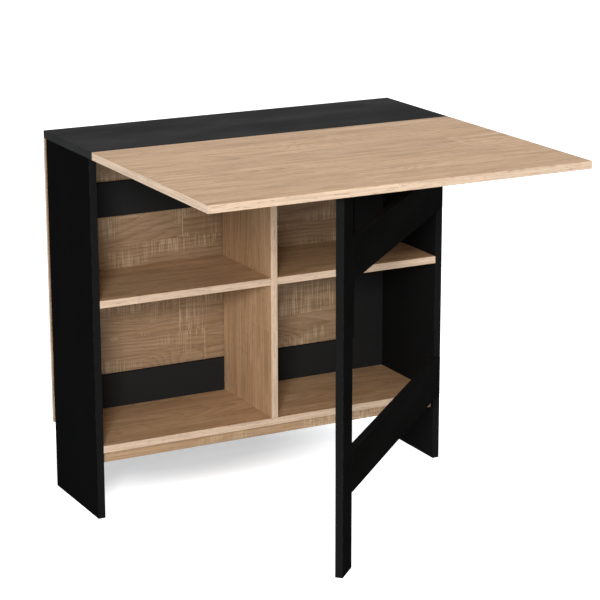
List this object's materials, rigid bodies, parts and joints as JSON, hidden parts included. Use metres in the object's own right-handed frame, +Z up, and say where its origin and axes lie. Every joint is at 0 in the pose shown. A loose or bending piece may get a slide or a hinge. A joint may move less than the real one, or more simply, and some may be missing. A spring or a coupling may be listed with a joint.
{
  "type": "kitchen table with storage cabinet",
  "caption": "Narrow kitchen table with a raised wood-decor drop leaf on a black swing gate leg, over an open shelf cabinet with black sides and fixed top.",
  "frame": {"origin": "centre of the whole footprint, on the floor under the table", "axes": "+X along the cabinet and table, to the right seen from the leaf's side; +Y from the leaf to the cabinet's back; +Z up"},
  "size_m": [0.778, 0.7534, 0.735],
  "materials": {
    "black_board": "satin",
    "wood_decor_board": "satin",
    "plated_steel": "satin",
    "zinc_cam": "matte",
    "beech_dowel": "matte"
  },
  "bodies": {
    "cabinet": {"apron_dowels": "beech_dowel", "back_panel": "wood_decor_board", "back_screws": "plated_steel", "bottom_shelf": "wood_decor_board", "cam_bolts": "plated_steel", "cam_locks": "zinc_cam", "carcass_dowels": "beech_dowel", "centre_divider": "wood_decor_board", "gate_hinge_fixed_plates": "plated_steel", "gate_hinge_fixed_screws": "plated_steel", "gate_hinge_pins": "plated_steel", "leaf_hinge_fixed_plates": "plated_steel", "leaf_hinge_fixed_screws": "plated_steel", "leaf_hinge_pins": "plated_steel", "left_back_stile": "black_board", "left_mid_shelf": "wood_decor_board", "left_side_panel": "black_board", "lower_back_rail": "black_board", "right_back_stile": "black_board", "right_mid_shelf": "wood_decor_board", "right_side_panel": "black_board", "shelf_apron": "wood_decor_board", "shelf_dowels": "beech_dowel", "top_panel": "black_board", "upper_back_rail": "black_board"},
    "leaf": {"front_leaf": "wood_decor_board", "leaf_hinge_moving_plates": "plated_steel", "leaf_hinge_moving_screws": "plated_steel"},
    "gate": {"gate_dowels": "beech_dowel", "gate_hinge_moving_plates": "plated_steel", "gate_hinge_moving_screws": "plated_steel", "gate_leg": "black_board", "lower_gate_rail": "black_board", "upper_gate_rail": "black_board"}
  },
  "joints": [
    {"name": "gate_swing", "type": "hinge", "parent": "cabinet", "child": "gate", "pos_m": [0.3706, 0.14615, 0.147], "axis": [0, 0, 1], "range_deg": [-44, 44]},
    {"name": "leaf_hinge", "type": "hinge", "parent": "cabinet", "child": "leaf", "pos_m": [0, 0.129, 0.7166], "axis": [-1, 0, 0], "range_deg": [0, 4.4]}
  ]
}
